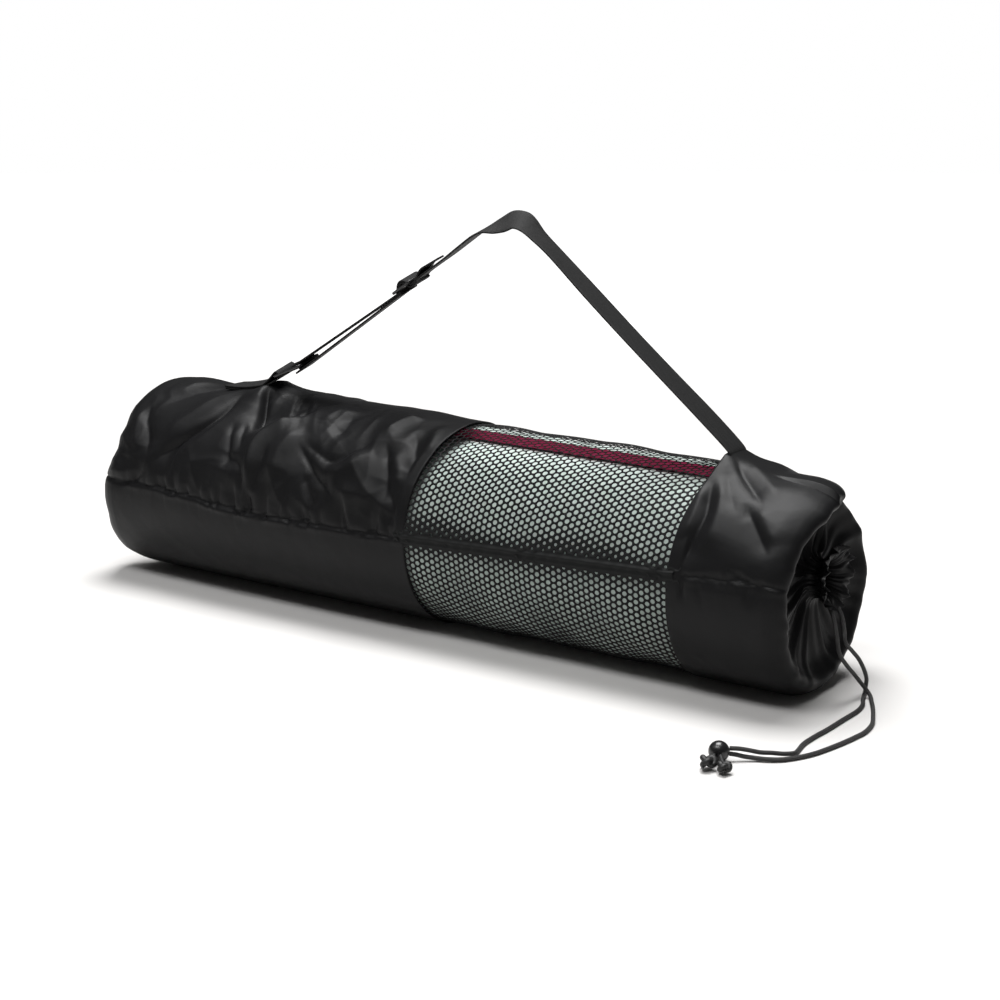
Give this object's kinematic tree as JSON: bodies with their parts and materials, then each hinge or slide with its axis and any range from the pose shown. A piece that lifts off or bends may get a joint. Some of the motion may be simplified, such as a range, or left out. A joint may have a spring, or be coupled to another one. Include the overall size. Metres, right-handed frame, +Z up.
{
  "type": "yoga mat bag with rolled mat",
  "caption": "Drawstring bag of nylon and net round a rolled exercise mat, lying on its side, with a carrying strap and a corded mouth.",
  "frame": {"origin": "on the floor under the bag, about the middle of its length, at the closed panel's flat underside", "axes": "+X along the bag to its drawn mouth, +Z up, -Y towards the side on which the cord lies"},
  "size_m": [0.7117, 0.2638, 0.3313],
  "materials": {
    "black_nylon": "thin woven nylon with a soft sheen",
    "black_net": "knitted polyester net",
    "foam_mat": "matt foam, burgundy on its inner side",
    "black_webbing": "woven polypropylene webbing",
    "black_plastic": "moulded plastic",
    "black_cord": "round braided cord"
  },
  "bodies": {
    "root": {"closed_panel": "black_nylon", "net_window": "black_net", "mouth_panel": "black_nylon", "mouth_hem": "black_nylon", "rolled_mat": "foam_mat", "strap": "black_webbing", "strap_tab": "black_webbing", "strap_ring": "black_plastic", "strap_slider": "black_plastic", "drawcord_inner": "black_cord", "drawcord_outer": "black_cord", "cord_lock": "black_plastic", "knot_big": "black_cord", "knot_small": "black_cord"}
  },
  "joints": []
}
